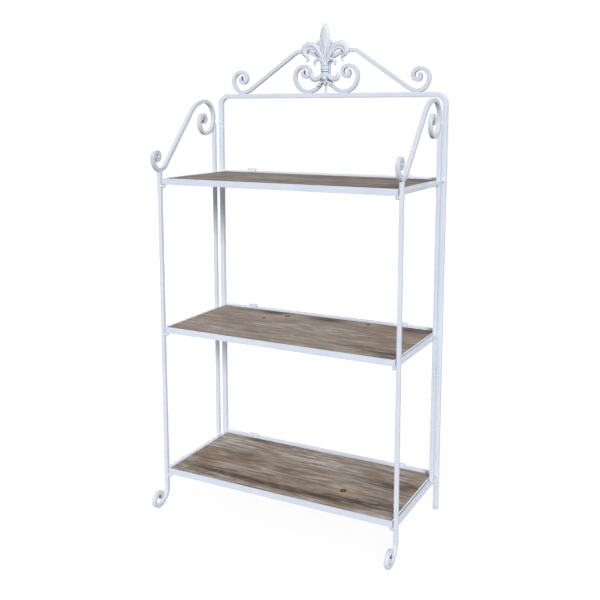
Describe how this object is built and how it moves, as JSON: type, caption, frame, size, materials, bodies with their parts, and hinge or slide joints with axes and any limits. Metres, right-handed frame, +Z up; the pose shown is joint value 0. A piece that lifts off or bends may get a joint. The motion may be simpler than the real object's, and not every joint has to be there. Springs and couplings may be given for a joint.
{
  "type": "three-tier shelf",
  "caption": "Folding metal etagere with weathered wood shelves, curled feet, scrolled side tops and a scrolled crest with a fleur-de-lis.",
  "frame": {"origin": "middle of the bounding box, on the floor", "axes": "+X to the right seen from the front, -Y is the front with the curled feet, +Z up"},
  "size_m": [0.654, 0.354, 1.2405],
  "materials": {
    "frame_paint": "satin white paint",
    "crest_paint": "satin white paint",
    "shelf_paint": "satin white paint",
    "hinge_paint": "satin white paint",
    "board_wood": "matt weathered grey-brown wood"
  },
  "bodies": {
    "back_frame": {"back_hoop": "frame_paint", "back_rail_bottom": "frame_paint", "back_rail_middle": "frame_paint", "back_rail_top": "frame_paint", "crest_scroll_left": "crest_paint", "crest_scroll_right": "crest_paint", "crest_stem": "crest_paint", "fleur_casting": "crest_paint", "bottom_fixed_knuckles": "hinge_paint", "bottom_hinge_pins": "hinge_paint", "middle_fixed_knuckles": "hinge_paint", "middle_hinge_pins": "hinge_paint", "top_fixed_knuckles": "hinge_paint", "top_hinge_pins": "hinge_paint", "left_hinge_arm_bottom": "hinge_paint", "left_hinge_pin_bottom": "hinge_paint", "left_hinge_arm_top": "hinge_paint", "left_hinge_pin_top": "hinge_paint", "right_hinge_arm_bottom": "hinge_paint", "right_hinge_pin_bottom": "hinge_paint", "right_hinge_arm_top": "hinge_paint", "right_hinge_pin_top": "hinge_paint"},
    "left_side": {"left_scroll": "frame_paint", "left_front_upright": "frame_paint", "left_rear_upright": "frame_paint", "left_rail_bottom": "frame_paint", "left_rail_middle": "frame_paint", "left_rail_top": "frame_paint", "left_pegs": "frame_paint", "left_hinge_eyes": "hinge_paint"},
    "right_side": {"right_scroll": "frame_paint", "right_front_upright": "frame_paint", "right_rear_upright": "frame_paint", "right_rail_bottom": "frame_paint", "right_rail_middle": "frame_paint", "right_rail_top": "frame_paint", "right_pegs": "frame_paint", "right_hinge_eyes": "hinge_paint"},
    "bottom_shelf": {"bottom_shelf_frame": "shelf_paint", "bottom_board": "board_wood", "bottom_loose_knuckles": "hinge_paint"},
    "middle_shelf": {"middle_shelf_frame": "shelf_paint", "middle_board": "board_wood", "middle_loose_knuckles": "hinge_paint"},
    "top_shelf": {"top_shelf_frame": "shelf_paint", "top_board": "board_wood", "top_loose_knuckles": "hinge_paint"}
  },
  "joints": [
    {"name": "bottom_shelf_fold", "type": "hinge", "parent": "back_frame", "child": "bottom_shelf", "pos_m": [0, 0.16975, 0.1024], "axis": [-1, 0, 0], "range_deg": [0, 90]},
    {"name": "middle_shelf_fold", "type": "hinge", "parent": "back_frame", "child": "middle_shelf", "pos_m": [0, 0.16975, 0.4824], "axis": [-1, 0, 0], "range_deg": [0, 90]},
    {"name": "top_shelf_fold", "type": "hinge", "parent": "back_frame", "child": "top_shelf", "pos_m": [0, 0.16975, 0.8624], "axis": [-1, 0, 0], "range_deg": [0, 85]},
    {"name": "left_side_fold", "type": "hinge", "parent": "back_frame", "child": "left_side", "pos_m": [-0.32025, 0.14175, 0.5], "axis": [0, 0, -1], "range_deg": [0, 90]},
    {"name": "right_side_fold", "type": "hinge", "parent": "back_frame", "child": "right_side", "pos_m": [0.32025, 0.14175, 0.5], "axis": [0, 0, 1], "range_deg": [0, 90]}
  ]
}
